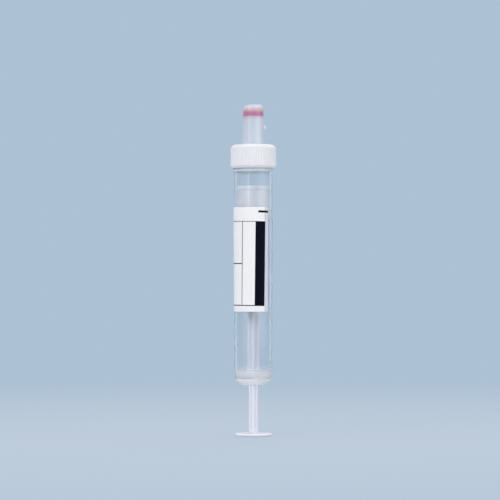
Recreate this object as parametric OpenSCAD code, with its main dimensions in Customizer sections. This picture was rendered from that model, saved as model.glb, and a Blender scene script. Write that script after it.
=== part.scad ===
// Piston-type blood collection tube: a clear barrel whose piston is drawn by a break-off rod, under a
// screw cap with a nozzle that a pierceable membrane closes. It stands on its thumb disc, +Z up. The
// origin is at the centre of the disc's underside, and -Y is the side with the label's dark band.

/* [Closed tube] */
// Length from the underside of the base to the top of the cap
closed_l = 92; // [80:1:120]
// Height of the base above the underside of the thumb disc
rod_shown = 19.5; // [15:0.5:40]

/* [Barrel] */
// Bore of the barrel
bore_d = 12.6; // [11:0.1:16]
// Wall just below the cap
wall_top = 1.2; // [1:0.05:2]
// Wall just above the rounded base
wall_foot = 0.9; // [0.8:0.05:1.2]
// Wall of the threaded neck
neck_wall = 0.85; // [0.7:0.05:1]
// Thickness of the base
base_t = 3; // [2.5:0.1:4]
// Outside radius of the base's edge
base_r = 5.5; // [3:0.1:6]
// Fillet round the floor of the bore
floor_r = 1.2; // [0.8:0.1:1.5]
// How far the stop bead stands proud of the wall
bead_out = 0.25; // [0.1:0.05:0.5]
// Height of the stop bead
bead_h = 0.6; // [0.4:0.1:1]
// Gap between the stop bead and the cap's lower edge
bead_gap = 0.7; // [0.5:0.1:2]
// Bevel of the bore's mouth
mouth_bevel = 0.4; // [0.2:0.1:0.5]

/* [Screw cap] */
// Height of the cap without its nozzle
cap_h = 9; // [8:0.5:12]
// Wall of the cap's skirt
cap_wall = 0.95; // [0.8:0.05:1.5]
// Thickness of the cap's top
cap_top_t = 1.5; // [1:0.1:2.5]
// Radius of the cap's top edge
cap_edge_r = 1.25; // [0.5:0.05:1.4]
// Chamfer of the cap's lower edge
cap_chamfer = 0.8; // [0.2:0.1:0.8]
// Number of grip ribs
ribs = 48; // [24:4:60]
// Depth of the flutes between the ribs
rib_depth = 0.18; // [0.1:0.02:0.3]
// Share of the pitch that a flute takes
flute_share = 0.8; // [0.5:0.1:0.9]
// Length of the sealing plug inside the mouth
plug_l = 5; // [4.5:0.5:6]
// Wall of the sealing plug
plug_wall = 0.9; // [0.7:0.1:1.2]
// Height of the plug's lead-in
plug_lead = 1.4; // [1:0.1:1.8]
// How far the plug is drawn in at its end
plug_in = 0.4; // [0.2:0.1:0.5]
// Height of the band that seals
plug_band = 1.2; // [0.8:0.1:1.6]
// How far the plug is relieved above that band
plug_relief = 0.2; // [0.1:0.05:0.3]

/* [Nozzle] */
// Bore of the nozzle
nozzle_bore = 6; // [5:0.1:8]
// Wall of the nozzle
nozzle_wall = 1.1; // [0.9:0.05:1.5]
// Height of the nozzle above the cap
nozzle_h = 15.3; // [13:0.1:20]
// How much the nozzle narrows in radius up to its lug
nozzle_draft = 0.1; // [0.05:0.05:0.3]
// Height of the rounded lip that is crimped over the membrane
lip_h = 2.2; // [1.8:0.1:2.6]
// How far the lip is drawn in
lip_in = 1; // [0.6:0.1:1.2]
// Opening in the lip
mouth_d = 4.4; // [3:0.1:4.6]
// Thickness of the lip above the membrane
lip_t = 0.8; // [0.6:0.1:1.2]
// Height of the locking lug's centre above the cap
lug_z = 6.6; // [4:0.1:8]
// Diameter of the locking lug
lug_d = 1.6; // [1:0.1:2.2]
// How far the locking lug stands out
lug_out = 0.85; // [0.5:0.05:1.5]

/* [Membrane] */
// Height of the membrane
membrane_h = 3.7; // [2.5:0.1:4.5]
// Width of the ledge that the membrane sits on
ledge = 0.3; // [0.2:0.05:0.4]
// Bevel of its upper edge
seat_bevel = 0.4; // [0.2:0.1:0.5]
// Depth of the dish in its upper face
dish_top = 0.5; // [0.2:0.1:0.8]
// Depth of the dish in its lower face
dish_foot = 0.8; // [0.3:0.1:1]

/* [Piston] */
// Height of the piston
piston_h = 13.3; // [11:0.1:18]
// Distance from the cap's lower edge down to the piston's front
piston_drop = 6.8; // [2:0.1:40]
// Height of each sealing lip
seal_h = 1.4; // [1:0.1:2]
// How far the piston is relieved between its lips
waist_in = 0.3; // [0.1:0.05:0.5]
// Width of the rim round the dished front
rim_w = 0.7; // [0.5:0.1:1.2]
// Bevel of that rim's edge
rim_bevel = 0.2; // [0.1:0.05:0.4]
// Thickness of the piston's front
front_t = 1.6; // [1.2:0.1:2.5]
// Wall of the piston's skirt
skirt_wall = 1; // [0.8:0.05:1.3]
// Depth of the dish in the piston's front
front_dish = 0.5; // [0.2:0.1:0.8]
// Wall of the socket that holds the rod
socket_wall = 1; // [0.8:0.1:1.3]
// How far the catch stands out behind the skirt
catch_l = 1.5; // [1:0.1:2]
// Bevel of the catch's end
catch_bevel = 0.3; // [0.1:0.1:0.5]
// Thickness of the webs between the socket and the skirt
web_t = 0.8; // [0.6:0.1:1.2]
// How far the webs are set back from the foot
web_back = 3; // [1:0.5:5]

/* [Piston rod] */
// Diameter of the thumb disc
disc_d = 14.2; // [12:0.1:20]
// Thickness of the thumb disc
disc_t = 1.1; // [0.8:0.1:2]
// Width across the rod's ribs inside the barrel
rod_span = 4.4; // [4.2:0.1:5.4]
// Width across the rod's ribs below the barrel
foot_span = 3.3; // [2.8:0.1:4.2]
// Thickness of the rod's ribs
rib_t = 1; // [0.8:0.1:1.4]
// Length of the taper between the two widths
taper_l = 2.2; // [1:0.1:4]
// Height of the gusset at the disc
gusset_h = 3.6; // [1:0.1:6]
// Diameter of the round stub in the piston
stub_d = 4.2; // [3.6:0.1:4.2]
// Diameter of the neck at which the rod breaks off
break_d = 1.8; // [1.2:0.1:2.4]
// Length of that neck
break_l = 0.6; // [0.4:0.1:1]
// Height of the round collar below that neck
collar_h = 1.6; // [1:0.1:3]
// Bevel of the collar and of the stub
collar_bevel = 0.4; // [0.2:0.1:0.5]
// How far the snap ring stands out of the stub
snap_out = 0.3; // [0.1:0.05:0.4]
// Width of the snap ring's crest
snap_flat = 0.4; // [0.2:0.1:1]
// Height of the snap ring above the catch's end
snap_up = 4.5; // [3:0.5:8]

/* [Label] */
// Height of the label
label_h = 39.9; // [30:0.1:50]
// Height of the label's lower edge above the base
label_z = 28.1; // [20:0.1:35]
// Thickness of the label
label_t = 0.12; // [0.08:0.01:0.3]
// Angle that the label covers
label_wrap = 270; // [180:5:340]
// Angle of its free edge, from the front towards +X
label_edge = 48; // [20:1:90]

/* [Fits] */
// Radial gap of the piston and the plug in the bore
slide_gap = 0.04; // [0.02:0.01:0.08]
// Height of the thread's ridges, for which the cap's bore leaves room
thread_h = 0.5; // [0.3:0.05:0.6]
// Radial gap over those ridges
thread_gap = 0.1; // [0.05:0.05:0.2]
// Radial gap round the rod in the base
guide_gap = 0.2; // [0.1:0.05:0.4]
// Radial gap of the parts that are pushed together
seat_gap = 0.05; // [0.02:0.01:0.1]
// Gap under the catch in its seat
catch_gap = 0.1; // [0.05:0.05:0.3]
// Gap between the cap's lower edge and the barrel's shoulder
skirt_gap = 0.3; // [0.2:0.1:0.5]
// How far below the base the break-off neck stands once the piston is drawn down
break_gap = 0.3; // [0.1:0.1:0.5]
// Height of the nozzle's straight tip above the locking lug
lug_gap = 0.3; // [0.1:0.1:1]
// Gap under the label
label_gap = 0.02; // [0.01:0.01:0.05]

/* [Edges] */
// Radius of the small outside edges
edge_r = 0.3; // [0.1:0.05:0.4]
// Radius of the thumb disc's upper edge
disc_edge_r = 0.5; // [0.2:0.1:0.7]

/* [Hidden] */
$fn = 96;
over = 0.05;

// Heights
base_z = rod_shown;
floor_z = base_z + base_t;
cap_top_z = base_z + closed_l;
cap_z = cap_top_z - cap_h;
rim_z = cap_top_z - cap_top_t;
plug_z = rim_z - plug_l;
shoulder_z = cap_z - skirt_gap;
bead_z = cap_z - bead_gap - bead_h;
nozzle_top_z = cap_top_z + nozzle_h;
lip_z = nozzle_top_z - lip_h;
seat_top_z = nozzle_top_z - lip_t;
ledge_z = seat_top_z - membrane_h;
tip_z = cap_top_z + lug_z + lug_d / 2 + lug_gap;
front_z = cap_z - piston_drop;
skirt_z = front_z - piston_h;
catch_z = skirt_z - catch_l;
socket_top_z = front_z - front_t;
snap_z = catch_z + snap_up;
break_top_z = skirt_z - base_t - break_gap;
break_z = break_top_z - break_l;

// Radii
bore_r = bore_d / 2;
barrel_r = bore_r + wall_top;
foot_r = bore_r + wall_foot;
neck_r = bore_r + neck_wall;
cap_bore_r = neck_r + thread_h + thread_gap;
cap_r = cap_bore_r + cap_wall;
plug_r = bore_r - slide_gap;
nozzle_r = nozzle_bore / 2 + nozzle_wall;
tip_r = nozzle_r - nozzle_draft;
seat_r = nozzle_bore / 2 + ledge;
seal_r = bore_r - slide_gap;
waist_r = seal_r - waist_in;
stub_r = stub_d / 2;
socket_r = stub_r + seat_gap;
catch_r = socket_r + socket_wall;
catch_seat_r = catch_r + 2 * seat_gap;
rod_r = rod_span / 2;
guide_r = max(rod_r, stub_r) + guide_gap;

// Radius of the barrel's drafted outside at a height between its base and its shoulder
function wall_r(z) = foot_r + (barrel_r - foot_r) * (z - base_z - base_r) / (shoulder_z - base_z - base_r);

// Section of the stub's snap ring, or of its groove, on a wall of radius r
function snap_ring(r) = [
    [r, snap_z - snap_flat / 2 - snap_out], [r + snap_out, snap_z - snap_flat / 2],
    [r + snap_out, snap_z + snap_flat / 2], [r, snap_z + snap_flat / 2 + snap_out]
];

// What a quarter round of radius r takes off a lower right corner at the origin
module corner_waste(r) {
    difference() {
        translate([-r, -over]) square([r + over, r + over]);
        translate([-r, r]) circle(r);
    }
}

// The same for an upper right corner
module top_corner_waste(r) {
    mirror([0, 1]) corner_waste(r);
}

// A revolved ring of rectangular section
module ring(r_in, r_out, z_low, z_high) {
    rotate_extrude() translate([r_in, z_low]) square([r_out - r_in, z_high - z_low]);
}

module barrel_outline() {
    difference() {
        polygon([
            [0, base_z], [foot_r, base_z], [foot_r, base_z + base_r], [barrel_r, shoulder_z],
            [neck_r, shoulder_z + barrel_r - neck_r], [neck_r, rim_z], [0, rim_z]
        ]);
        translate([foot_r, base_z]) corner_waste(base_r);
        translate([neck_r, rim_z]) top_corner_waste(edge_r);
    }
    bead_mid_r = wall_r(bead_z) + bead_out - bead_h / 2;
    inside_r = bore_r + neck_wall / 2;
    translate([bead_mid_r, bead_z + bead_h / 2]) circle(bead_h / 2);
    translate([inside_r, bead_z]) square([bead_mid_r - inside_r, bead_h]);
}

// Everything that is hollow in the barrel: the bore, the catch's seat and the rod's guide hole
module barrel_hollow() {
    rotate_extrude() {
        difference() {
            translate([0, floor_z]) square([bore_r, rim_z - floor_z + over]);
            translate([bore_r, floor_z]) corner_waste(floor_r);
        }
        polygon([
            [0, rim_z - mouth_bevel], [bore_r, rim_z - mouth_bevel],
            [bore_r + mouth_bevel + over, rim_z + over], [0, rim_z + over]
        ]);
    }
    seat_depth = catch_l + catch_gap;
    translate([0, 0, floor_z - seat_depth]) cylinder(r = catch_seat_r, h = seat_depth + over);
    translate([0, 0, base_z - over]) cylinder(r = guide_r, h = base_t);
}

module barrel() {
    color([0.86, 0.92, 0.96, 0.35]) difference() {
        rotate_extrude() barrel_outline();
        barrel_hollow();
    }
}

// The label follows the drafted wall, and its free edge lies just past the dark band
module label() {
    low_z = base_z + label_z;
    high_z = low_z + label_h;
    low_r = wall_r(low_z) + label_gap;
    high_r = wall_r(high_z) + label_gap;
    color("white") rotate([0, 0, label_edge - 90 - label_wrap]) rotate_extrude(angle = label_wrap)
        polygon([[low_r, low_z], [low_r + label_t, low_z], [high_r + label_t, high_z], [high_r, high_z]]);
}

// A drafted root up to the lug, a straight tip, and a rounded lip: an arc that leaves the tip's side
// upright and is drawn in by lip_in at the top
module nozzle_outline() {
    lip_r = (pow(lip_in, 2) + pow(lip_h, 2)) / (2 * lip_in);
    polygon([
        [0, rim_z], [nozzle_r, rim_z], [nozzle_r, cap_top_z], [tip_r, tip_z], [tip_r, lip_z], [0, lip_z]
    ]);
    intersection() {
        translate([0, lip_z]) square([tip_r, lip_h]);
        translate([tip_r - lip_r, lip_z]) circle(lip_r);
    }
}

module cap_outline() {
    difference() {
        translate([0, cap_z]) square([cap_r, cap_h]);
        translate([cap_r, cap_top_z]) top_corner_waste(cap_edge_r);
        polygon([
            [cap_r - cap_chamfer, cap_z - over], [cap_r + over, cap_z - over],
            [cap_r + over, cap_z + cap_chamfer], [cap_r, cap_z + cap_chamfer], [cap_r - cap_chamfer, cap_z]
        ]);
    }
}

// The sealing plug swells to its full radius in a short band and is drawn in below it
module plug_outline() {
    inner_r = plug_r - plug_wall;
    band_z = plug_z + plug_lead;
    band_top_z = band_z + plug_band;
    polygon([
        [inner_r, plug_z + 2 * edge_r], [inner_r + edge_r, plug_z], [plug_r - plug_in, plug_z],
        [plug_r, band_z], [plug_r, band_top_z], [plug_r - plug_relief, band_top_z + 3 * plug_relief],
        [plug_r - plug_relief, rim_z + over], [inner_r, rim_z + over]
    ]);
}

// The nozzle's channel, the membrane's seat with its bevelled top, and the opening in the lip
module nozzle_hollow() {
    rotate_extrude() polygon([
        [0, rim_z - over], [nozzle_bore / 2, rim_z - over], [nozzle_bore / 2, ledge_z], [seat_r, ledge_z],
        [seat_r, seat_top_z - seat_bevel], [seat_r - seat_bevel, seat_top_z], [mouth_d / 2, seat_top_z],
        [mouth_d / 2, nozzle_top_z + over], [0, nozzle_top_z + over]
    ]);
}

// Round flutes between the grip ribs, from the lower edge to just under the rounded top edge
module flutes() {
    flute_r = PI * cap_r / ribs * flute_share;
    for (i = [0 : ribs - 1])
        rotate([0, 0, i * 360 / ribs])
            translate([cap_r + flute_r - rib_depth, 0, cap_z - over])
                cylinder(r = flute_r, h = cap_h - cap_edge_r + over, $fn = 24);
}

module lug() {
    lug_in = nozzle_wall / 2;
    translate([nozzle_r - lug_in, 0, cap_top_z + lug_z]) rotate([0, 90, 0]) rotate_extrude() difference() {
        square([lug_d / 2, lug_in + lug_out]);
        translate([lug_d / 2, lug_in + lug_out]) top_corner_waste(edge_r);
    }
}

// Cap, sealing plug, nozzle and locking lug are one moulding
module screw_cap() {
    color("white") difference() {
        union() {
            rotate_extrude() {
                cap_outline();
                nozzle_outline();
            }
            lug();
        }
        ring(0, cap_bore_r, cap_z - over, rim_z);
        nozzle_hollow();
        flutes();
    }
    color("white") rotate_extrude() plug_outline();
}

module membrane() {
    membrane_r = seat_r - seat_gap;
    dish_r = mouth_d / 2;
    color([0.85, 0.5, 0.65]) rotate_extrude() polygon([
        [0, ledge_z + dish_foot], [dish_r - dish_foot, ledge_z + dish_foot], [dish_r, ledge_z],
        [membrane_r, ledge_z], [membrane_r, seat_top_z - seat_bevel - seat_gap],
        [membrane_r - seat_bevel, seat_top_z - seat_gap], [dish_r, seat_top_z - seat_gap],
        [dish_r - dish_top, seat_top_z - dish_top], [0, seat_top_z - dish_top]
    ]);
}

// Half section of the piston's outside: two sealing lips with a waist between them, and a bevelled foot
module piston_outline() {
    low_seal_z = skirt_z + floor_r;
    polygon([
        [0, skirt_z], [seal_r - floor_r, skirt_z], [seal_r, low_seal_z], [seal_r, low_seal_z + seal_h],
        [waist_r, low_seal_z + seal_h + waist_in], [waist_r, front_z - seal_h - waist_in],
        [seal_r, front_z - seal_h], [seal_r, front_z - rim_bevel], [seal_r - rim_bevel, front_z],
        [seal_r - rim_w, front_z], [seal_r - rim_w - front_dish, front_z - front_dish],
        [0, front_z - front_dish]
    ]);
}

// Radial webs from the socket to the skirt, set back from the foot
module piston_webs() {
    skirt_in_r = waist_r - skirt_wall;
    for (a = [45 : 90 : 315])
        rotate([0, 0, a]) translate([catch_r - over, -web_t / 2, skirt_z + web_back])
            cube([skirt_in_r - catch_r + socket_wall / 2, web_t, socket_top_z - skirt_z - web_back + over]);
}

// A cup open behind, with a socket for the rod whose end is the catch that seats in the barrel's base
module piston() {
    color([0.9, 0.93, 0.97, 0.85]) {
        difference() {
            rotate_extrude() piston_outline();
            ring(0, waist_r - skirt_wall, skirt_z - over, socket_top_z);
        }
        rotate_extrude() polygon(concat([
            [catch_r - catch_bevel, catch_z], [catch_r, catch_z + catch_bevel],
            [catch_r, socket_top_z + over], [socket_r, socket_top_z + over]
        ], [for (i = [3 : -1 : 0]) snap_ring(socket_r)[i]], [[socket_r, catch_z]]));
        piston_webs();
    }
}

// Four ribs in a round envelope of the given width
module rib_section(span) {
    intersection() {
        circle(d = span);
        union() {
            square([span, rib_t], center = true);
            square([rib_t, span], center = true);
        }
    }
}

// A round envelope that narrows from the wide ribs to the slim foot, just inside the base
module rod_envelope() {
    taper_z = base_z + base_t / 2;
    rotate_extrude() polygon([
        [0, 0], [foot_span / 2, 0], [foot_span / 2, taper_z], [rod_r, taper_z + taper_l],
        [rod_r, break_z], [0, break_z]
    ]);
}

// Disc, ribbed rod, break-off neck and the stub that snaps into the piston are one moulding
module piston_rod() {
    color([0.88, 0.91, 0.97, 0.85]) {
        rotate_extrude() difference() {
            square([disc_d / 2, disc_t]);
            translate([disc_d / 2, 0]) corner_waste(edge_r);
            translate([disc_d / 2, disc_t]) top_corner_waste(disc_edge_r);
        }
        translate([0, 0, disc_t - over]) cylinder(d1 = foot_span, d2 = rib_t, h = gusset_h);
        intersection() {
            linear_extrude(break_z) rib_section(rod_span);
            rod_envelope();
        }
        rotate_extrude() polygon(concat([
            [0, break_z - collar_h], [rod_r - collar_bevel, break_z - collar_h],
            [rod_r, break_z - collar_h + collar_bevel], [rod_r, break_z - collar_bevel],
            [break_d / 2, break_z], [break_d / 2, break_top_z], [stub_r, break_top_z + collar_bevel]
        ], snap_ring(stub_r), [[stub_r, socket_top_z], [0, socket_top_z]]));
    }
}

barrel();
label();
screw_cap();
membrane();
piston();
piston_rod();
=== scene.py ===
import math

import bpy
import numpy as np
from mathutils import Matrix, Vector


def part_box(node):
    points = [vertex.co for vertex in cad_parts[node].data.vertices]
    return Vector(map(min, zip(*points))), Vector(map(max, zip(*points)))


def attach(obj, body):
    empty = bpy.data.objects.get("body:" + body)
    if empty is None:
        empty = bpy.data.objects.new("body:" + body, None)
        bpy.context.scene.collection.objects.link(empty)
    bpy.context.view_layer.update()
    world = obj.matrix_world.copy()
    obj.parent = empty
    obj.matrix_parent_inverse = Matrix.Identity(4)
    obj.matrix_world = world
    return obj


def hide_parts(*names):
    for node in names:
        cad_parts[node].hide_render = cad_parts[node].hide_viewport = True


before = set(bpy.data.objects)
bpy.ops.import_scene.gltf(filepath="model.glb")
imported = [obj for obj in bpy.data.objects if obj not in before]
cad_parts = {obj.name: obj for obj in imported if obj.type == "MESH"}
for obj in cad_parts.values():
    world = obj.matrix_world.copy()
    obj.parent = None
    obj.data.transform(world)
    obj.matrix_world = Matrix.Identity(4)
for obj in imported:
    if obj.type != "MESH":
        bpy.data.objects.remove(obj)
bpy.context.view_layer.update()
# The lowest and the highest corner of each CAD node.
LOW = {n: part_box(n)[0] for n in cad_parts}
HIGH = {n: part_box(n)[1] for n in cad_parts}

bl_info = {
    "name": "Blood Collection Tube",
    "version": (1, 0, 0),
    "blender": (4, 5, 0),
    "location": "View3D > Sidebar > Tube",
    "description": "Builds a piston-type blood collection tube with its cap, label, piston and rod",
    "category": "Add Mesh",
}

MM = 0.001
TURN = 2 * math.pi
TOUCH = 0.01 * MM  # a point nearer to a wall than this lies on it
SHARP = math.radians(50)  # edges with a larger angle between their faces stay sharp


# ------------------------------ settings


def size(name, text, mm):
    """A length whose default is given in millimetres."""
    return bpy.props.FloatProperty(
        name=name, description=text, default=mm * MM, min=0, precision=5, unit="LENGTH", subtype="DISTANCE"
    )


def turn(name, text, degrees):
    """An angle whose default is given in degrees."""
    return bpy.props.FloatProperty(
        name=name, description=text, default=math.radians(degrees), unit="ROTATION", subtype="ANGLE"
    )


def level(name, text, value):
    """A strength or a power."""
    return bpy.props.FloatProperty(name=name, description=text, default=value, min=0)


def share(name, text, value):
    """A share between 0 and 1."""
    return bpy.props.FloatProperty(
        name=name, description=text, default=value, min=0, max=1, subtype="FACTOR"
    )


def paint(name, text, *rgb):
    """A colour, as linear red, green and blue."""
    return bpy.props.FloatVectorProperty(
        name=name, description=text, default=rgb, min=0, max=1, size=3, subtype="COLOR"
    )


class BarrelSettings(bpy.types.PropertyGroup):
    """The clear barrel."""

    bore: size("Bore radius", "Radius of the bore", 6.3)
    wall_top: size("Wall at the shoulder", "Wall just below the cap", 1.2)
    wall_foot: size("Wall at the foot", "Wall just above the rounded base", 0.9)
    neck_wall: size("Neck wall", "Wall of the threaded neck", 0.85)
    base: size("Base", "Thickness of the base", 2.955)
    base_edge: size("Base edge", "Outside radius of the base's edge", 4)
    floor_edge: size("Floor fillet", "Fillet round the floor of the bore", 1.2)
    guide: size("Guide hole", "Radius of the rod's hole in the base", 2.4)
    seat: size("Catch seat", "Radius of the seat for the piston's catch", 3.25)
    seat_depth: size("Catch seat depth", "Depth of that seat", 1.6)
    bead: size("Stop bead", "How far the bead below the cap stands out", 0.25)
    bead_height: size("Bead height", "Height of the bead", 0.6)
    shoulder: size("Shoulder", "Depth of the shoulder below the cap's lower edge", 0.3)
    mouth: size("Mouth bevel", "Bevel of the bore's mouth", 0.4)
    clear: paint("Clear plastic", "Tint of the barrel's wall", 0.89, 0.925, 0.957)
    haze: paint("Haze", "Colour of the thick, milky base", 0.955, 0.955, 0.975)
    frost: paint("Frost", "Colour of the frosted stop bead", 0.90, 0.97, 1.0)
    veil: share("Veil", "Share of the light that the clear wall scatters", 0.06)
    milk: share("Milk", "Share of the light that the thick base scatters", 0.62)


class ThreadSettings(bpy.types.PropertyGroup):
    """The thread between neck and cap."""

    lead: size("Lead", "Rise of the cap for each turn", 6)
    starts: bpy.props.IntProperty(name="Starts", description="Number of starts", default=2, min=1, max=4)
    height: size("Height", "Height of the ridges", 0.5)
    crest: size("Crest", "Width of a ridge's crest", 0.5)
    root: size("Root", "Width of a ridge at the wall", 1.1)
    gap: size("Crest gap", "Radial gap over the ridges", 0.1)
    flank: size("Flank gap", "Gap between the flanks that hold the cap", 0.1)
    share: bpy.props.FloatProperty(
        name="Share of a turn", description="How much of a turn each ridge covers", default=0.7, min=0.1, max=1
    )


class CapSettings(bpy.types.PropertyGroup):
    """The screw cap."""

    height: size("Height", "Height of the cap without its nozzle", 9)
    top: size("Top", "Thickness of the cap's top", 1.5)
    edge: size("Top edge", "Radius of the top edge", 1.25)
    chamfer: size("Chamfer", "Chamfer of the lower edge", 0.8)
    ribs: bpy.props.IntProperty(name="Ribs", description="Number of grip ribs", default=48, min=12, max=72)
    flute: size("Flute depth", "Depth of the flutes between the ribs", 0.18)
    plug_radius: size("Plug radius", "Radius of the sealing plug", 6.26)
    plug_length: size("Plug length", "Length of the sealing plug", 5)
    plug_wall: size("Plug wall", "Wall of the sealing plug", 0.9)
    white: paint("White plastic", "Colour of the cap", 0.85, 0.86, 0.885)


class NozzleSettings(bpy.types.PropertyGroup):
    """The nozzle and its membrane."""

    root: size("Root radius", "Radius of the nozzle at the cap", 4.1)
    tip: size("Tip radius", "Radius of the nozzle's straight tip", 4)
    bore: size("Bore radius", "Radius of the nozzle's bore", 3)
    seat: size("Seat radius", "Radius of the membrane's seat", 3.3)
    mouth: size("Mouth radius", "Radius of the opening in the lip", 2.2)
    lip: size("Lip height", "Height of the rounded lip", 2.2)
    lip_in: size("Lip draw", "How far the lip is drawn in", 1)
    lip_wall: size("Lip thickness", "Thickness of the lip over the membrane", 0.8)
    lug_height: size("Lug height", "Height of the lug's centre above the cap", 6.6)
    lug_radius: size("Lug radius", "Radius of the locking lug", 0.8)
    lug_out: size("Lug length", "How far the lug stands out", 0.85)
    milky: paint("Milky plastic", "Colour of the thin translucent wall", 0.81, 0.87, 0.96)
    # The two glow colours below are painted light: the rubber's pink as it shines through the nozzle's milky
    # wall, painted into the wall's colour, paler under the lip.
    glow: paint("Glow", "Colour of the rubber as it shows through the wall", 0.65, 0.25, 0.43)
    painted_lip_glow: paint("Warm glow", "Colour of the rubber's upper edge under the lip", 0.84, 0.58, 0.60)
    rubber: paint("Rubber", "Colour of the membrane", 0.62, 0.16, 0.36)


class PistonSettings(bpy.types.PropertyGroup):
    """The piston."""

    radius: size("Radius", "Radius of the sealing lips", 6.26)
    lip: size("Lip height", "Height of each sealing lip", 1.4)
    waist: size("Waist", "How far the piston is relieved between the lips", 0.3)
    front: size("Front", "Thickness of the front", 1.6)
    dish: size("Dish", "Depth of the dish in the front", 0.5)
    rim: size("Rim", "Width of the rim round the dish", 0.7)
    foot: size("Foot", "Radius of the lower edge", 1.2)
    skirt: size("Skirt", "Wall of the skirt", 1)
    socket: size("Socket radius", "Inside radius of the rod's socket", 2.15)
    catch: size("Catch radius", "Outside radius of the socket and catch", 3.15)
    catch_length: size("Catch length", "How far the catch stands out behind the skirt", 1.5)
    web: size("Web", "Thickness of the webs", 0.8)
    web_back: size("Web set-back", "How far the webs are set back from the foot", 3)
    milky: paint("Milky plastic", "Colour of the piston", 0.85, 0.855, 0.90)


class RodSettings(bpy.types.PropertyGroup):
    """The piston rod."""

    disc: size("Disc", "Thickness of the thumb disc", 1.1)
    ribs: size("Rib span", "Width over the ribs inside the barrel", 4.4)
    foot: size("Foot span", "Width over the ribs below the barrel", 3.3)
    rib: size("Rib", "Thickness of the ribs", 1)
    taper: size("Taper", "Length of the taper between the two widths", 2.2)
    gusset: size("Gusset", "Height of the gusset at the disc", 3.6)
    stub: size("Stub radius", "Radius of the stub in the piston", 2.1)
    neck: size("Break-off neck", "Radius of the neck at which the rod breaks off", 0.9)
    neck_length: size("Neck length", "Length of that neck", 0.6)
    collar: size("Collar", "Height of the round collar below the neck", 1.6)
    snap: size("Snap ring", "How far the snap ring stands out", 0.3)
    milky: paint("Milky plastic", "Colour of the rod", 0.80, 0.815, 0.895)


class LabelSettings(bpy.types.PropertyGroup):
    """The label."""

    film: size("Film", "Thickness of the film", 0.12)
    gap: size("Gap", "Gap under the film", 0.02)
    edge: turn("Free edge", "Angle of the free edge, from the front", 48)
    margin: turn("Clear margin", "Width of the clear margin", 13)
    wrap: turn("Wrap", "Angle that the label covers", 270)
    tilt: turn("Tilt", "How far the print is turned clockwise on the film", 0.64)
    white: paint("White film", "Colour of the film", 0.96, 0.95, 0.97)
    ink: paint("Ink", "Colour of the band and the rules", 0.002, 0.0025, 0.013)


class StageSettings(bpy.types.PropertyGroup):
    """The floor, the lights and the camera."""

    floor: size("Floor radius", "Radius of the floor", 2500)
    ground: paint("Ground", "Colour of the floor and the background", 0.42, 0.535, 0.66)
    around: level("Surroundings", "Strength of the light from all round", 0.6)
    key: level("Key light", "Power of the key light", 4.6)
    fill: level("Fill light", "Power of the fill light", 4.2)
    top: level("Top light", "Power of the light from above", 2.2)
    strip: level("Front strip", "Power of the strip that draws the soft streak on the barrel", 0.55)
    back: level("Back light", "Power of the high light behind the tube", 1.8)
    rim: level("Rim lights", "Power of the two panels behind the tube", 0.1)
    distance: size("Distance", "Distance of the camera", 930)
    eye: size("Eye height", "Height of the camera", 56)
    aim: size("Aim height", "Height that the camera aims at", 71.2)
    aside: size("Aside", "How far the camera stands to the left", 1.26)
    view: turn("Field of view", "Angle of the camera's view", 11.77)


# ------------------------------ surfaces


def rounded(corners, steps=6):
    """An open line through the corners (x, y, radius in millimetres). Each inner corner P is replaced by the
    parabola (1-t)^2 A + 2t(1-t) P + t^2 B, where A and B lie on its legs, radius or 0.45 of a leg from P."""
    c = np.array(corners, float)
    p, radius = c[:, :2], c[1:-1, 2] * MM
    leg = np.linalg.norm(np.diff(p, axis=0), axis=1)
    way = np.diff(p, axis=0) / leg[:, None]
    cut = np.minimum(radius, 0.45 * np.minimum(leg[:-1], leg[1:]))[:, None]
    a, b = p[1:-1] - way[:-1] * cut, p[1:-1] + way[1:] * cut
    t = np.linspace(0, 1, steps + 1)[None, :, None]
    bend = (1 - t) ** 2 * a[:, None] + 2 * t * (1 - t) * p[1:-1, None] + t**2 * b[:, None]
    return np.concatenate([p[:1], bend.reshape(-1, 2), p[-1:]])


def finer(line, step):
    """The same line with each leg cut into equal parts no longer than step, which is one length or one for
    each leg."""
    leg = np.linalg.norm(np.diff(line, axis=0), axis=1)
    parts = np.maximum(1, np.ceil(leg / step)).astype(int)
    first = np.repeat(np.cumsum(parts) - parts, parts)
    at = np.repeat(np.arange(len(leg)), parts) + (np.arange(parts.sum()) - first) / np.repeat(parts, parts)
    at = np.append(at, len(leg))
    return np.stack([np.interp(at, np.arange(len(line)), line[:, k]) for k in (0, 1)], 1)


def middles(line):
    """The middle of each leg of the line."""
    return (line[1:] + line[:-1]) / 2


def arc(centre, radius, start, end, steps):
    """Points centre + radius (cos a, sin a) with a from start to end, in radians."""
    a = np.linspace(start, end, steps + 1)
    return np.stack([centre[0] + radius * np.cos(a), centre[1] + radius * np.sin(a)], 1)


def smooth(x):
    """3x^2 - 2x^3 of x held between 0 and 1."""
    x = np.clip(x, 0, 1)
    return x * x * (3 - 2 * x)


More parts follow.
